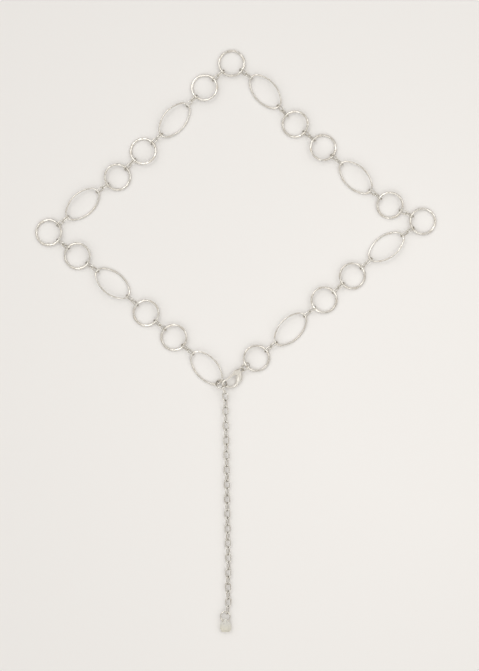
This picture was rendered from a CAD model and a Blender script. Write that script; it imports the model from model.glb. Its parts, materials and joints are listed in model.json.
"""Looks of a silver waist chain that lies closed on a pale surface, seen from straight above.

Every wire piece is a tube carried along the middle line of its solid in the frame. The solid gives its
place, its two long axes and its sizes, so a piece is always where the frame has it.
"""
import json
import math

import bpy
import numpy as np
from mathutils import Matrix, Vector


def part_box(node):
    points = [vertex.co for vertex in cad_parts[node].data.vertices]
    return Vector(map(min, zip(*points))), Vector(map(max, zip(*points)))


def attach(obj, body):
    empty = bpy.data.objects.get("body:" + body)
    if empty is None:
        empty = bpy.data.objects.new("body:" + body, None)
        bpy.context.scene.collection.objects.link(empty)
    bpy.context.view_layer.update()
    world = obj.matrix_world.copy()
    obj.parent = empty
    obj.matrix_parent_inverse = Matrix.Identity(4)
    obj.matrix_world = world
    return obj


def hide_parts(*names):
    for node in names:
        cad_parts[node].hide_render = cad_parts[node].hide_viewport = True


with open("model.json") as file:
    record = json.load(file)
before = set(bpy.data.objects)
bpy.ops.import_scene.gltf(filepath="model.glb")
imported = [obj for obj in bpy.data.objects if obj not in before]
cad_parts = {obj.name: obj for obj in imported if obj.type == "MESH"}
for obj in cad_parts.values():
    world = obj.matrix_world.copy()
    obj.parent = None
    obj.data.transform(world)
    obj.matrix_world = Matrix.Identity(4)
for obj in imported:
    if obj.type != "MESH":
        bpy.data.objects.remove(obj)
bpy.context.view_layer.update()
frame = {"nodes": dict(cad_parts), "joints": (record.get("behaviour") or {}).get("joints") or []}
NODES = frame["nodes"]
MM = 0.001


# Places read from the frame's solids

# Corners are the same point when they agree to this many decimals of a millimetre
SAME_DECIMALS = 4
# A solid's long axis is turned so that it runs with this direction
LONG_WAY = np.array([1.0, 0.3, 0.1])


def solids_of(name):
    """The separate solids of a node, from the top of the layout down, each with its centre, its long, wide
    and normal axes and its half sizes along them, in millimetres. Corners that share a triangle carry the
    same label, and the lowest label spreads until nothing changes. The axes are those of the surface's
    spread about its centre."""
    mesh = NODES[name].data
    points = np.empty(len(mesh.vertices) * 3)
    mesh.vertices.foreach_get("co", points)
    mesh.calc_loop_triangles()
    corners = np.empty(len(mesh.loop_triangles) * 3, int)
    mesh.loop_triangles.foreach_get("vertices", corners)
    points = np.round(points.reshape(-1, 3) / MM, SAME_DECIMALS)
    merged, back = np.unique(points, axis=0, return_inverse=True)
    faces = back.ravel()[corners].reshape(-1, 3)
    label = np.arange(len(merged))
    while True:
        spread = label.copy()
        lowest = label[faces].min(axis=1)
        for k in range(3):
            np.minimum.at(spread, faces[:, k], lowest)
        spread = spread[spread]
        if (spread == label).all():
            break
        label = spread
    found = []
    for value in np.unique(label[faces[:, 0]]):
        own = faces[label[faces[:, 0]] == value]
        a, b, c = merged[own[:, 0]], merged[own[:, 1]], merged[own[:, 2]]
        area = np.linalg.norm(np.cross(b - a, c - a), axis=1)[:, None]
        middles = (a + b + c) / 3
        centre = (middles * area).sum(axis=0) / area.sum()
        surface_spread = ((middles - centre) * area).T @ (middles - centre)
        _, axes = np.linalg.eigh(surface_spread)
        long, wide, normal = axes[:, 2], axes[:, 1], axes[:, 0]
        normal = normal * (1 if normal[2] >= 0 else -1)
        long = long * (1 if long @ LONG_WAY >= 0 else -1)
        wide = np.cross(normal, long)
        turned = (merged[np.unique(own)] - centre) @ np.stack([long, wide, normal], axis=1)
        found.append({"centre": centre, "long": long, "wide": wide, "normal": normal,
                      "half": np.abs(turned).max(axis=0)})
    return sorted(found, key=lambda s: -s["centre"][1])


# Surfaces

def piece_mesh(name, points, faces, body):
    """A mesh object that rides a body, shaded smooth, from an array of points in millimetres and a list of
    faces."""
    mesh = bpy.data.meshes.new(name)
    mesh.from_pydata((points * MM).tolist(), [], faces)
    mesh.update()
    mesh.shade_smooth()
    made = bpy.data.objects.new(name, mesh)
    bpy.context.scene.collection.objects.link(made)
    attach(made, body)
    return made


def ring_faces(rows, cols, first):
    """Quads of a grid that closes on itself both ways, for rows along the wire and cols round it. Their
    points are counted from `first`."""
    i, j = np.meshgrid(np.arange(rows), np.arange(cols), indexing="ij")
    i2, j2 = (i + 1) % rows, (j + 1) % cols
    quads = np.stack([i * cols + j, i2 * cols + j, i2 * cols + j2, i * cols + j2], axis=-1)
    return quads.reshape(-1, 4) + first


# The line of arcs is first drawn this many times finer than it is walked
FINER = 4


def arcs_line(arcs, step, extra=()):
    """A closed convex line made of arcs, (centre x, centre y, radius, start, end) in turn with angles in
    degrees. A point is centre + radius * (cos a, sin a) and its outward direction is (cos a, sin a);
    straight stretches join one arc's end to the next one's start. It is walked in steps of about the
    same length, and `extra` adds points at those lengths. Gives the points, their outward directions,
    their lengths along the line and its whole length."""
    points, outward = [], []
    for x, y, r, start, end in arcs:
        count = max(2, int(math.ceil(abs(math.radians(end - start)) * r / (step / FINER))))
        a = np.radians(np.linspace(start, end, count))
        normal = np.stack([np.cos(a), np.sin(a)], axis=1)
        points.append(np.array([x, y]) + r * normal)
        outward.append(normal)
    points, outward = np.vstack(points + [points[0][:1]]), np.vstack(outward + [outward[0][:1]])
    along = np.concatenate([[0], np.cumsum(np.linalg.norm(np.diff(points, axis=0), axis=1))])
    total = along[-1]
    stops = np.linspace(0, total, int(total / step), endpoint=False)
    stops = np.unique(np.concatenate([stops, np.asarray(extra, float) % total]))
    line = np.stack([np.interp(stops, along, points[:, k]) for k in (0, 1)], axis=1)
    out = np.stack([np.interp(stops, along, outward[:, k]) for k in (0, 1)], axis=1)
    return line, out / np.linalg.norm(out, axis=1)[:, None], stops, total


def length_away(stops, at, total):
    """Distance along a closed line of that whole length from each stop to a place."""
    away = np.abs(stops - at)
    return np.minimum(away, total - away)


# Hammer marks: how many lie round the wire, how far they stray along it and round it as shares of their
# spacing, the depth of the lightest as a share of the deepest, how many spacings one reaches along the
# wire, by how much of the wire's radius it rises in one spacing, and the least cosine that it divides by
MARKS_ROUND = 6
STRAY_ALONG = 0.35
STRAY_ROUND = 0.3
LIGHTEST_MARK = 0.3
MARK_REACH = 1.6
MARK_RISE = 0.10
LEAST_COSINE = 0.2


def planished(stops, total, turn, wire_r, spacing, depth, rng):
    """Radius of a hammered wire at each length and angle: the wire's own radius, cut back by the nearest
    flat of a scatter of hammer marks. A mark is a plane (1 - depth) * r / cos(angle from it), which
    rises with the square of the length from it, and the lowest plane wins."""
    rows = int(total / spacing)
    marks = (rows, MARKS_ROUND)
    at = (np.arange(rows)[:, None] + rng.uniform(-STRAY_ALONG, STRAY_ALONG, marks)) * total / rows
    angle = (np.arange(MARKS_ROUND)[None] + 0.5 * (np.arange(rows)[:, None] % 2)
             + rng.uniform(-STRAY_ROUND, STRAY_ROUND, marks)) * 2 * math.pi / MARKS_ROUND
    deep = rng.uniform(LIGHTEST_MARK, 1.0, marks) * depth
    radius = np.full((len(stops), len(turn)), wire_r)
    for a, v, d in zip(at.ravel(), angle.ravel(), deep.ravel()):
        away = length_away(stops, a, total)
        near = np.where(away < MARK_REACH * spacing)[0]
        off = np.abs((turn - v + math.pi) % (2 * math.pi) - math.pi)
        flat = wire_r * (1 - d) / np.maximum(np.cos(off), LEAST_COSINE)
        rise = (MARK_RISE * wire_r / spacing ** 2) * away[near] ** 2
        radius[near] = np.minimum(radius[near], flat[None] + rise[:, None])
    return radius


def tube(solid, line, out, radius, turn, first=0):
    """Points and quads of a wire whose middle line lies in a solid's own plane: point = centre + line +
    radius * (cos v * outward + sin v * normal), for each place on the line and each angle v round it."""
    plane = np.stack([solid["long"], solid["wide"]])
    middle = solid["centre"] + line @ plane
    outward = out @ plane
    points = middle[:, None] + radius[..., None] * (np.cos(turn)[None, :, None] * outward[:, None]
                                                    + np.sin(turn)[None, :, None] * solid["normal"])
    return points.reshape(-1, 3), ring_faces(len(line), len(turn), first)[:, ::-1].tolist()


# Direction of the line on which an end arc and a side arc of an oval meet
MEET_X, MEET_Y = 0.6, 0.8


def oval_arcs(solid):
    """Middle line of an oval of four arcs, and its wire's radius. The line from a side arc's centre to an
    end arc's has the direction (MEET_X, MEET_Y), so with a half length a and a half width b the two
    centres are (a - b) / (MEET_X + MEET_Y - 1) apart."""
    wire_r = solid["half"][2]
    a, b = solid["half"][0] - wire_r, solid["half"][1] - wire_r
    apart = (a - b) / (MEET_X + MEET_Y - 1)
    end_x, side_y = MEET_X * apart, MEET_Y * apart
    meet = math.degrees(math.atan2(MEET_Y, MEET_X))
    end_r, side_r = b - apart + side_y, b + side_y
    return [(end_x, 0, end_r, -meet, meet),
            (0, -side_y, side_r, meet, 180 - meet),
            (-end_x, 0, end_r, 180 - meet, 180 + meet),
            (0, side_y, side_r, 180 + meet, 360 - meet)], wire_r


def round_arcs(solid):
    """Middle line of a round ring, one full circle, and its wire's radius."""
    wire_r = solid["half"][2]
    return [(0, 0, (solid["half"][0] + solid["half"][1]) / 2 - wire_r, 0, 360)], wire_r


def link_arcs(solid):
    """Middle line of a small oval link, two half circles joined by straights, and its wire's radius."""
    wire_r = solid["half"][2]
    r = solid["half"][1] - wire_r
    straight = solid["half"][0] - solid["half"][1]
    return [(straight, 0, r, -90, 90), (-straight, 0, r, 90, 270)], wire_r


def angles_round(count):
    """Angles of that many points round a wire or a circle."""
    return np.linspace(0, 2 * math.pi, count, endpoint=False)


# A butt seam: its width and its depth as shares of the wire's radius, and the places across it that get
# points, as shares of its width
SEAM_WIDTH = 0.32
SEAM_DEPTH = 0.16
SEAM_PLACES = np.array([-1.0, -0.5, -0.2, 0.0, 0.2, 0.5, 1.0])


def seamed(stops, total, at, width, wire_r, turn):
    """Radius of a plain wire with a butt seam of that width at a length along it: the wire's radius times
    1 - depth * exp(-(2 * distance / width)^2)."""
    away = length_away(stops, at % total, total)
    dip = 1 - SEAM_DEPTH * np.exp(-(2 * away / width) ** 2)
    return wire_r * dip[:, None] * np.ones(len(turn))[None]


# Finishes

class Flow:
    """One output of a shader node, used in sums, differences and products as a number is."""

    def __init__(self, finish, socket):
        self.finish = finish
        self.socket = socket

    def _maths(self, operation, first, second):
        return self.finish.node("ShaderNodeMath", {"operation": operation}, {0: first, 1: second})

    def __add__(self, other):
        return self._maths("ADD", self, other)

    def __sub__(self, other):
        return self._maths("SUBTRACT", self, other)

    def __rsub__(self, other):
        return self._maths("SUBTRACT", other, self)

    def __mul__(self, other):
        return self._maths("MULTIPLY", self, other)

    __radd__ = __add__
    __rmul__ = __mul__


class Finish:
    """A material whose nodes are made by one method."""

    def __init__(self, name, **constants):
        self.material = bpy.data.materials.new(name)
        self.material.use_nodes = True
        self.tree = self.material.node_tree
        self.shader = self.tree.nodes["Principled BSDF"]
        for socket, value in constants.items():
            self.shader.inputs[socket.replace("_", " ")].default_value = value

    def node(self, kind, settings=None, inputs=None, output=0):
        """Makes a node, sets its settings, then the values or links of its inputs."""
        made = self.tree.nodes.new(kind)
        for key, value in (settings or {}).items():
            if key == "stops":
                ramp = made.color_ramp
                while len(ramp.elements) < len(value):
                    ramp.elements.new(0.5)
                for element, (place, colour) in zip(ramp.elements, value):
                    element.position = place
                    element.color = colour if hasattr(colour, "__len__") else (colour,) * 3 + (1,)
            else:
                setattr(made, key, value)
        for key, value in (inputs or {}).items():
            if isinstance(value, Flow):
                self.tree.links.new(value.socket, made.inputs[key])
            else:
                made.inputs[key].default_value = value
        return Flow(self, made.outputs[output])

    def place(self):
        """Object coordinates in millimetres."""
        at = self.node("ShaderNodeTexCoord", output="Object")
        return self.node("ShaderNodeMapping", inputs={"Vector": at, "Scale": (1 / MM,) * 3})

    def noise(self, at, scale, detail, roughness):
        """Cloudy noise with that many waves to a unit of the place."""
        return self.node("ShaderNodeTexNoise", inputs={"Vector": at, "Scale": scale, "Detail": detail,
                                                       "Roughness": roughness})

    def ramp(self, value, *stops):
        """A colour ramp with its stops as (place, colour or grey)."""
        return self.node("ShaderNodeValToRGB", {"stops": stops}, {0: value})

    def mix(self, factor, first, second):
        """The first colour where the factor is 0 and the second where it is 1."""
        return self.node("ShaderNodeMix", {"data_type": "RGBA"}, {0: factor, 6: first, 7: second}, 2)

    def bump(self, height, strength, distance):
        """A normal that follows a height."""
        return self.node("ShaderNodeBump", inputs={"Strength": strength, "Distance": distance,
                                                   "Height": height})

    def feed(self, **sockets):
        """Links flows to the shader's sockets and gives the material."""
        for socket, flow in sockets.items():
            self.tree.links.new(flow.socket, self.shader.inputs[socket.replace("_", " ")])
        return self.material


TARNISH = (0.030, 0.026, 0.022, 1)
# The tarnish is this strong, and that much stronger where the grain is at its brightest
TARNISH_LEAST, TARNISH_BY_GRAIN = 0.65, 0.6
# Stretch and turn of the polishing scratches
SCRATCH_SCALE = (9.0, 0.8, 5.0)
SCRATCH_TURN = (0.3, 0.2, 0.7)
# The grain's share of the silver's colour and of its roughness, and the height of its bumps
GRAIN_COLOUR = 0.2
GRAIN_ROUGHNESS = 0.06
GRAIN_HEIGHT = 0.03 * MM
# What a scratch adds to the roughness as a share of its strength, and its height as a share of the grain's
SCRATCH_ROUGHNESS = 0.3
SCRATCH_HEIGHT = 0.5


def silver(name, bright, dull, smooth, rough, scratch):
    """Plated silver: bright metal with soft clouds of a duller, rougher film, fine polishing scratches,
    a grain that only breaks up the highlights, and dark tarnish where pieces rub inside each other."""
    finish = Finish(name, Metallic=1.0)
    at = finish.place()
    cloud = finish.noise(at, scale=0.23, detail=3.0, roughness=0.55)
    film = finish.ramp(cloud, (0.42, 0.0), (0.68, 1.0))
    grain = finish.noise(at, scale=3.1, detail=4.0, roughness=0.6)
    streaked = finish.node("ShaderNodeMapping", inputs={"Vector": at, "Scale": SCRATCH_SCALE,
                                                        "Rotation": SCRATCH_TURN})
    streaks = finish.noise(streaked, scale=2.4, detail=2.0, roughness=0.7)
    scratches = finish.ramp(streaks, (0.50, 0.0), (0.62, 1.0))
    clean = finish.mix(film * (1 - GRAIN_COLOUR) + grain * GRAIN_COLOUR, bright, dull)
    rubbed = finish.node("ShaderNodeAttribute", {"attribute_name": "rubbed"}, output="Fac")
    colour = finish.mix(rubbed * (grain * TARNISH_BY_GRAIN + TARNISH_LEAST), clean, TARNISH)
    dullness = film * (rough - smooth) + grain * GRAIN_ROUGHNESS + (smooth - GRAIN_ROUGHNESS / 2)
    return finish.feed(Base_Color=colour, Roughness=dullness + scratches * (SCRATCH_ROUGHNESS * scratch),
                       Normal=finish.bump(scratches * SCRATCH_HEIGHT + grain, scratch, GRAIN_HEIGHT))


CRYSTAL_ROUGHNESS = 0.01
# The veils shift the crystal's colour along it by this share of its length, and roughen it a little
VEIL_SHIFT = 0.3
VEIL_ROUGHNESS = 0.06


def pale_crystal():
    """Clear champagne crystal, a little deeper in colour towards its lower end, with faint veils."""
    finish = Finish("pale_crystal", Transmission_Weight=0.42, IOR=1.44)
    at = finish.node("ShaderNodeTexCoord", output="Object")
    low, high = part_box("crystal_drop")
    along = finish.node("ShaderNodeSeparateXYZ", inputs={0: at}, output=1)
    down = finish.node("ShaderNodeMapRange", inputs={0: along, 1: high.y, 2: low.y})
    veil = finish.noise(finish.place(), scale=0.35, detail=3.0, roughness=0.5)
    colour = finish.ramp(down + veil * VEIL_SHIFT - VEIL_SHIFT / 2,
                         (0.35, (0.99, 0.975, 0.93, 1)), (0.75, (0.985, 0.96, 0.86, 1)))
    return finish.feed(Base_Color=colour, Roughness=veil * VEIL_ROUGHNESS + CRYSTAL_ROUGHNESS)


hammered_silver = silver("hammered_silver", bright=(0.87, 0.85, 0.81, 1), dull=(0.69, 0.645, 0.58, 1),
                         smooth=0.18, rough=0.34, scratch=0.12)
wire_silver = silver("wire_silver", bright=(0.86, 0.84, 0.80, 1), dull=(0.62, 0.58, 0.51, 1),
                     smooth=0.06, rough=0.16, scratch=0.10)
polished_silver = silver("polished_silver", bright=(0.92, 0.90, 0.86, 1), dull=(0.74, 0.70, 0.63, 1),
                         smooth=0.30, rough=0.42, scratch=0.06)
crystal = pale_crystal()


def dress(made, material):
    """Gives a piece its finish."""
    made.data.materials.append(material)


# The large rings: hammered wire

RING_STEP = 0.30
LARGE_SIDES = 28
# Spacing of the hammer marks in millimetres, and the deepest mark as a share of the wire's radius
OVAL_MARKS = {"spacing": 1.5, "depth": 0.055}
ROUND_MARKS = {"spacing": 1.7, "depth": 0.085}
# The first ring's marks are drawn from this seed, and each next ring's from the next one
SEED = 20


def large_ring(name, number):
    """One hammered ring or oval, whose marks are drawn from its own seed."""
    solid = solids_of(name)[0]
    is_oval = name.startswith("oval")
    arcs, wire_r = oval_arcs(solid) if is_oval else round_arcs(solid)
    line, out, stops, total = arcs_line(arcs, RING_STEP)
    turn = angles_round(LARGE_SIDES)
    rng = np.random.default_rng(SEED + number)
    radius = planished(stops, total, turn, wire_r, rng=rng, **(OVAL_MARKS if is_oval else ROUND_MARKS))
    points, faces = tube(solid, line, out, radius, turn)
    made = piece_mesh(name + "_wire", points, faces, "chain")
    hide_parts(name)
    dress(made, hammered_silver)


for number, name in enumerate(sorted(n for n in NODES if n.startswith(("ring_", "oval_")))):
    large_ring(name, number)


# The small links and the jump rings: all the wires of a node are one mesh

LINK_STEP = 0.28
LINK_SIDES = 16
JUMP_SIDES = 20
# Length from the start of each kind's middle line to its butt seam, in millimetres
LINK_SEAM = 5.2
CLOSING_SEAM = 9.0
CLASP_SEAM = 4.0
END_SEAM = 20.0
# The tarnish fades along the wire within this length, and round it while the cosine of the angle from the
# outward side goes from minus this value to this value
TARNISH_REACH = 0.9
TARNISH_SIDE = 0.35


def rubbed_at(line, turn, places):
    """How tarnished a wire is: on its inner side, near the places where a neighbour bears on it, side *
    exp(-(distance / reach)^2), where side falls from 1 to 0 as cos v goes from -TARNISH_SIDE to
    TARNISH_SIDE."""
    side = np.clip((TARNISH_SIDE - np.cos(turn)) / (2 * TARNISH_SIDE), 0, 1)
    distance = np.min([np.linalg.norm(line - place, axis=1) for place in places], axis=0)
    return (np.exp(-(distance / TARNISH_REACH) ** 2)[:, None] * side[None]).ravel()


def both_ends(solid):
    """The two places of a link's middle line where its neighbours bear on it."""
    end = solid["half"][0] - solid["half"][2]
    return [(end, 0), (-end, 0)]


def toward(*names):
    """Makes the function that gives the places of a ring's middle line on the way to the middles of
    other nodes."""
    def places(solid):
        found = []
        for other in names:
            low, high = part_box(other)
            way = np.array((low + high) / 2) / MM - solid["centre"]
            way = np.array([way @ solid["long"], way @ solid["wide"]])
            found.append(way / np.linalg.norm(way) * (solid["half"][0] - solid["half"][2]))
        return found
    return places


def plain_wires(name, arcs_of, step, sides, seam, places_of):
    """All the wires of one node as one mesh, each with its butt seam and its rubbed places."""
    points, faces, rubbed, first = [], [], [], 0
    turn = angles_round(sides)
    for solid in solids_of(name):
        arcs, wire_r = arcs_of(solid)
        width = SEAM_WIDTH * wire_r
        line, out, stops, total = arcs_line(arcs, step, seam + width * SEAM_PLACES)
        radius = seamed(stops, total, seam, width, wire_r, turn)
        own, quads = tube(solid, line, out, radius, turn, first)
        points.append(own)
        faces += quads
        rubbed.append(rubbed_at(line, turn, places_of(solid)))
        first += len(own)
    made = piece_mesh(name + "_wire", np.vstack(points), faces, "chain")
    made.data.attributes.new("rubbed", "FLOAT", "POINT").data.foreach_set("value", np.concatenate(rubbed))
    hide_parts(name)
    dress(made, wire_silver)


for name in ("upper_right_links", "lower_right_links", "lower_left_links", "upper_left_links",
             "extender_chain"):
    plain_wires(name, link_arcs, LINK_STEP, LINK_SIDES, LINK_SEAM, both_ends)
for name, seam, neighbours in (("closing_ring", CLOSING_SEAM, ("clasp_body", "oval_5", "extender_chain")),
                               ("clasp_ring", CLASP_SEAM, ("clasp_body", "ring_8")),
                               ("end_ring", END_SEAM, ("extender_chain", "crystal_drop"))):
    plain_wires(name, round_arcs, RING_STEP, JUMP_SIDES, seam, toward(*neighbours))


# The clasp, in its own frame: x from the tail's end to the nose, y towards the bulge and z through its
# thickness, in millimetres

CLASP_LEN, CLASP_W, CLASP_T = 24.0, 9.6, 3.2
CLASP_PLAN = np.array([CLASP_LEN, CLASP_W])
CLASP_ROLL, CLASP_PITCH = math.radians(-15), math.radians(1)
PIVOT = CLASP_PLAN * np.array([0.308, -0.047])
EYE_R, EYE_WIRE = 1.75, 1.1
EYE = np.array([EYE_R + EYE_WIRE / 2, 0.052 * CLASP_W])
CHEEK_T, CHEEK_ROUNDING = 2.6, 0.18
LEVER_T, LEVER_ROUNDING = 1.4, 0.22
LEVER_ROOT_R, LEVER_TIP_R = 1.25, 0.6
# Room beside the lever on each side, and between its tip and the claw's nose
LEVER_PLAY = 0.2
# The riveted pivot pin, as thick all through as its heads: its radius, how far it stands proud of each
# cheek, and the rounding of its ends
RIVET_R, RIVET_PROUD, RIVET_ROUNDING = 0.75, 0.2, 0.16
# The claw from the tail to the nose: x and y of a section's middle, its breadth and its thickness, as
# shares of the clasp's length, width, width and thickness
CLAW_SECTIONS = np.array([
    [0.170, 0.110, 0.260, 0.62], [0.250, 0.290, 0.470, 0.88], [0.335, 0.520, 0.590, 1.00],
    [0.450, 0.745, 0.450, 1.00], [0.590, 0.880, 0.260, 0.92], [0.730, 0.805, 0.215, 0.80],
    [0.842, 0.565, 0.205, 0.69], [0.925, 0.277, 0.200, 0.59], [0.938, 0.074, 0.190, 0.56],
    [0.898, -0.048, 0.186, 0.547], [0.827, -0.064, 0.180, 0.53], [0.775, -0.055, 0.165, 0.49],
    [0.765, -0.053, 0.100, 0.30]])
# Corners that a cheek's smooth outline runs through, as shares of the clasp's length and width
CHEEK_OUTLINE = CLASP_PLAN * np.array([
    [0.160, -0.045], [0.156, 0.155], [0.215, 0.280], [0.305, 0.235], [0.372, 0.085], [0.376, -0.095],
    [0.308, -0.222], [0.232, -0.165]])
# The lever's thumb tab, from the root on, in millimetres from the pivot
LEVER_TAB = np.array([[0.75, -1.16], [1.25, -1.80], [1.80, -1.95], [2.35, -1.72], [3.00, -0.98]])

# The clasp's own axes in the layout's frame: its z axis is the hinge's. With that roll and pitch and its
# nose along x, the clasp would lean towards `unturned`, and its heading is the turn from there to the way
# that the hinge leans
hinge = frame["joints"][0]
pivot_at = np.array(hinge["pos_m"]) / MM
through = np.array(hinge["axis"]) / np.linalg.norm(hinge["axis"])
unturned = np.array([-math.sin(CLASP_PITCH) * math.cos(CLASP_ROLL), -math.sin(CLASP_ROLL)])
heading = math.atan2(through[1], through[0]) - math.atan2(unturned[1], unturned[0])
ahead = np.array([math.cos(heading) * math.cos(CLASP_PITCH), math.sin(heading) * math.cos(CLASP_PITCH),
                  math.sin(CLASP_PITCH)])
bulge = np.cross(through, ahead)
CLASP_AXES = np.stack([ahead, bulge, through])


def on_clasp(local):
    """Points of the clasp's own frame in the layout's frame."""
    return pivot_at + (local - np.array([*PIVOT, 0])) @ CLASP_AXES


def smoothed(rows, steps, closed=False):
    """Smooth curve through the rows, in that many steps from each to the next: a cubic between each two
    rows, whose slope at a row is half the difference of its neighbours."""
    n = len(rows)
    spans = n if closed else n - 1
    t = np.arange(spans * steps + (0 if closed else 1)) / steps
    k = np.minimum(t.astype(int), spans - 1)
    t = (t - k)[:, None]

    def row(i):
        return rows[i % n] if closed else rows[np.clip(i, 0, n - 1)]

    a, b, c, d = row(k - 1), row(k), row(k + 1), row(k + 2)
    slope, bend, twist = c - a, 2 * a - 5 * b + 4 * c - d, 3 * (b - c) + d - a
    return 0.5 * (2 * b + slope * t + bend * t ** 2 + twist * t ** 3)


def capped_faces(rows, cols, first):
    """Faces of a tube of rows of cols points: its quads, with a fan of triangles onto one more point at
    each end."""
    i, j = np.meshgrid(np.arange(rows - 1), np.arange(cols), indexing="ij")
    j2 = (j + 1) % cols
    quads = np.stack([i * cols + j, (i + 1) * cols + j, (i + 1) * cols + j2, i * cols + j2], axis=-1)
    start, end = rows * cols, rows * cols + 1
    k = np.arange(cols)
    k2 = (k + 1) % cols
    low = np.stack([np.full(cols, start), k, k2], axis=1)
    high = np.stack([np.full(cols, end), (rows - 1) * cols + k2, (rows - 1) * cols + k], axis=1)
    return [face for group in (quads.reshape(-1, 4), low, high) for face in (group + first).tolist()]


CLAW_STEPS, CLAW_SIDES = 10, 44
# The point that closes the nose lies this far past its last ellipse, in millimetres
NOSE_POINT = 0.12


def claw_shell(first):
    """The curved claw: ellipses across the smoothed sections. Point = place + breadth / 2 * cos v * side
    + thickness / 2 * sin v * z, and a point at each end closes it."""
    rows = smoothed(CLAW_SECTIONS, CLAW_STEPS)
    place = rows[:, :2] * CLASP_PLAN
    run = np.gradient(place, axis=0)
    run /= np.linalg.norm(run, axis=1)[:, None]
    breadth, thick = rows[:, 2] * CLASP_W / 2, rows[:, 3] * CLASP_T / 2
    side = np.stack([-run[:, 1], run[:, 0]], axis=1)
    v = angles_round(CLAW_SIDES)
    plan = place[:, None] + (breadth[:, None] * np.cos(v))[..., None] * side[:, None]
    points = np.concatenate([plan, (thick[:, None] * np.sin(v))[..., None]], axis=2).reshape(-1, 3)
    ends = np.array([[*place[0], 0], [*(place[-1] + NOSE_POINT * run[-1]), 0]])
    return np.vstack([points, ends]), capped_faces(len(rows), len(v), first)


EYE_STEPS, EYE_SIDES = 72, 28


def eye_shell(first):
    """The clasp's eye: a torus, point = eye + (R + r cos v) * (cos u, sin u), z = r sin v."""
    u = angles_round(EYE_STEPS)[:, None]
    v = angles_round(EYE_SIDES)[None]
    r = EYE_WIRE / 2
    far = EYE_R + r * np.cos(v)
    points = np.stack([EYE[0] + far * np.cos(u), EYE[1] + far * np.sin(u), r * np.sin(v) + 0 * u], axis=-1)
    return points.reshape(-1, 3), ring_faces(EYE_STEPS, EYE_SIDES, first).tolist()


# A plate's flat faces have rows of points at these shares of the way from their middle to their edge, and
# each rounded edge has this many rows
FACE_SHARES = (0.25, 0.5, 0.75, 0.92)
EDGE_ROWS = 6


def plate_shell(outline, low, high, rounding):
    """Makes the function that gives a flat plate with rounded edges, walked from the middle of its lower
    face over the edge to the middle of its upper face. For v from 0 to 90 degrees an edge's row is the
    outline drawn in by rounding * (1 - sin v), at rounding * (1 - cos v) inside the face's level."""
    middle = outline.mean(axis=0)
    run = np.roll(outline, -1, axis=0) - np.roll(outline, 1, axis=0)
    out = np.stack([run[:, 1], -run[:, 0]], axis=1) / np.linalg.norm(run, axis=1)[:, None]
    quarter = np.linspace(0, math.pi / 2, EDGE_ROWS)
    drawn = rounding * (1 - np.sin(quarter))
    inside = rounding * (1 - np.cos(quarter))
    edge = outline - rounding * out
    half = [(middle + share * (edge - middle), 0) for share in FACE_SHARES]
    half += [(outline - d * out, z) for d, z in zip(drawn, inside)]
    rows = [(plan, low + z) for plan, z in half] + [(plan, high - z) for plan, z in half[::-1]]
    points = np.vstack([np.column_stack([plan, np.full(len(plan), z)]) for plan, z in rows]
                       + [[[*middle, low]], [[*middle, high]]])

    def make(first):
        return points, [face[::-1] for face in capped_faces(len(rows), len(outline), first)]

    return make


def arc(centre, r, start, end, count):
    """Points of an arc, centre + r * (cos a, sin a), with angles in degrees."""
    a = np.radians(np.linspace(start, end, count))
    return np.array(centre) + r * np.stack([np.cos(a), np.sin(a)], axis=1)


CREASE = math.radians(50)


def clasp_piece(name, shells, body, node):
    """Joins shells, each made for the number of points before it, into one mesh on the clasp. Edges
    sharper than the crease stay sharp."""
    points, faces, first = [], [], 0
    for make in shells:
        own, own_faces = make(first)
        points.append(own)
        faces += own_faces
        first += len(own)
    made = piece_mesh(name, on_clasp(np.vstack(points)), faces, body)
    made.data.set_sharp_from_angle(angle=CREASE)
    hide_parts(node)
    dress(made, polished_silver)


CHEEK_STEPS, RIVET_SIDES = 8, 48
TAB_STEPS, ROOT_POINTS, TIP_POINTS = 6, 21, 17


def clasp_frame():
    """The claw, the eye, two cheeks with the lever's slot between them, and the riveted pivot pin, as one
    mesh."""
    cheek = smoothed(CHEEK_OUTLINE, CHEEK_STEPS, closed=True)
    slot = LEVER_T / 2 + LEVER_PLAY
    rivet_top = CHEEK_T / 2 + RIVET_PROUD
    rivet = arc(PIVOT, RIVET_R, 0, 360, RIVET_SIDES + 1)[:-1]
    clasp_piece("clasp_frame", [
        claw_shell,
        eye_shell,
        plate_shell(cheek, slot, CHEEK_T / 2, CHEEK_ROUNDING),
        plate_shell(cheek, -CHEEK_T / 2, -slot, CHEEK_ROUNDING),
        plate_shell(rivet, -rivet_top, rivet_top, RIVET_ROUNDING),
    ], "chain", "clasp_body")


def clasp_lever():
    """The lever: a plate whose outline is half a circle round the pivot, the thumb tab on the lower edge
    and half a circle at the tip, joined by straights and walked anticlockwise."""
    nose = CLAW_SECTIONS[-1, :2] * CLASP_PLAN
    tip = nose - np.array([LEVER_TIP_R + LEVER_PLAY, 0])
    outline = np.vstack([PIVOT + smoothed(LEVER_TAB, TAB_STEPS),
                         arc(tip, LEVER_TIP_R, -90, 90, TIP_POINTS),
                         arc(PIVOT, LEVER_ROOT_R, 90, 270, ROOT_POINTS)])
    clasp_piece("clasp_lever_arm", [plate_shell(outline, -LEVER_T / 2, LEVER_T / 2, LEVER_ROUNDING)],
                "lever", "clasp_lever")


clasp_frame()
clasp_lever()


# The drop keeps its cut solid
drop = NODES["crystal_drop"]
drop.data.materials.clear()
drop.data.materials.append(crystal)


# Floor, light and camera

FLOOR_HALF = 3.0
# Where the floor is brightest, how fast it darkens from there by the metre, and its cloudiness
FLOOR_BRIGHTEST = (0.18, -0.04, 0)
FLOOR_FALL = 1.3
FLOOR_CLOUDS = 0.12


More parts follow.
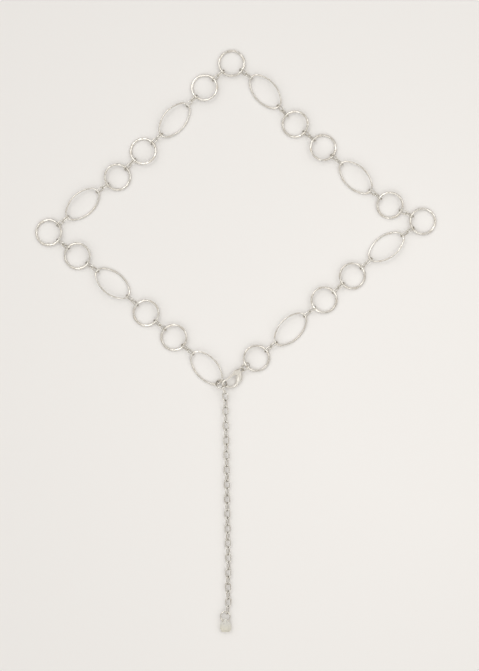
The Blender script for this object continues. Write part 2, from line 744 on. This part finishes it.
def pale_floor():
    """A matt pale board under the chain with the faintest cloudiness."""
    finish = Finish("pale_floor", Roughness=0.75)
    at = finish.node("ShaderNodeTexCoord", output="Object")
    way = finish.node("ShaderNodeVectorMath", {"operation": "SUBTRACT"}, {0: at, 1: FLOOR_BRIGHTEST})
    away = finish.node("ShaderNodeVectorMath", {"operation": "LENGTH"}, {0: way}, 1)
    clouds = finish.noise(finish.place(), scale=1.2, detail=3.0, roughness=0.6)
    shade = finish.ramp(away * FLOOR_FALL + clouds * FLOOR_CLOUDS,
                        (0.2, (0.900, 0.886, 0.876, 1)), (0.95, (0.780, 0.768, 0.760, 1)))
    mesh = bpy.data.meshes.new("pale_floor")
    corners = [(x * FLOOR_HALF, y * FLOOR_HALF, 0) for x, y in ((-1, -1), (1, -1), (1, 1), (-1, 1))]
    mesh.from_pydata(corners, [], [(0, 1, 2, 3)])
    mesh.materials.append(finish.feed(Base_Color=shade))
    board = bpy.data.objects.new("pale_floor", mesh)
    bpy.context.scene.collection.objects.link(board)


LIGHT_COLOUR = (1.0, 0.99, 0.97)


def soft_light(name, at, size, power):
    """A round soft light that faces the middle of the chain."""
    data = bpy.data.lights.new(name, "AREA")
    data.shape = "DISK"
    data.size = size
    data.energy = power
    data.color = LIGHT_COLOUR
    light = bpy.data.objects.new(name, data)
    bpy.context.scene.collection.objects.link(light)
    light.location = at
    way = -np.array(at) / np.linalg.norm(at)
    light.rotation_euler = (math.acos(-way[2]), 0, math.atan2(way[1], way[0]) - math.pi / 2)


# The room's light by the sine of the height that it comes from: dim at the horizon and below it, bright on
# the way up and duller overhead, so that the wires show both light and shade
ROOM_STOPS = [(0.20, (0.12, 0.11, 0.10, 1)), (0.42, (0.94, 0.93, 0.905, 1)), (0.76, (0.94, 0.93, 0.905, 1)),
              (0.88, (0.42, 0.39, 0.35, 1)), (1.0, (0.36, 0.33, 0.29, 1))]
ROOM_STRENGTH = 1.02


def soft_room():
    """The light of the room round the chain, which changes only with the height that it comes from."""
    world = bpy.data.worlds.new("soft_room")
    world.use_nodes = True
    room = world.node_tree
    way_up = room.nodes.new("ShaderNodeSeparateXYZ")
    room.links.new(room.nodes.new("ShaderNodeTexCoord").outputs["Generated"], way_up.inputs[0])
    walls = room.nodes.new("ShaderNodeValToRGB")
    while len(walls.color_ramp.elements) < len(ROOM_STOPS):
        walls.color_ramp.elements.new(0.5)
    for stop, (place, colour) in zip(walls.color_ramp.elements, ROOM_STOPS):
        stop.position = place
        stop.color = colour
    room.links.new(way_up.outputs[2], walls.inputs[0])
    room.links.new(walls.outputs[0], room.nodes["Background"].inputs["Color"])
    room.nodes["Background"].inputs["Strength"].default_value = ROOM_STRENGTH
    bpy.context.scene.world = world


# The photograph is 671 pixels high with 0.85 mm to a pixel at the level of the wires, and its middle is
# 3.2 mm to the right of the layout's middle and 4.35 mm above it
PHOTO_HEIGHT = 671
PIXEL = 0.85 * MM
WIRE_LEVEL = 2.4 * MM
PHOTO_MIDDLE = (3.2 * MM, 4.35 * MM)
LENS, SENSOR = 85.0, 36.0


def camera_above():
    """The camera, straight above the chain."""
    lens = bpy.data.cameras.new("camera")
    lens.lens = LENS
    lens.sensor_width = SENSOR
    lens.sensor_fit = "AUTO"
    lens.clip_start = 0.01
    camera = bpy.data.objects.new("camera", lens)
    bpy.context.scene.collection.objects.link(camera)
    camera.location = (*PHOTO_MIDDLE, PHOTO_HEIGHT * PIXEL * LENS / SENSOR + WIRE_LEVEL)
    bpy.context.scene.camera = camera


bpy.context.scene.view_settings.view_transform = "Standard"
pale_floor()
soft_light("window_light", at=(-1.1, 1.2, 2.8), size=1.8, power=17.0)
soft_light("room_light", at=(1.6, 0.4, 2.7), size=1.6, power=10.0)
soft_light("back_light", at=(-0.3, -1.6, 2.7), size=1.6, power=10.0)
soft_room()
camera_above()
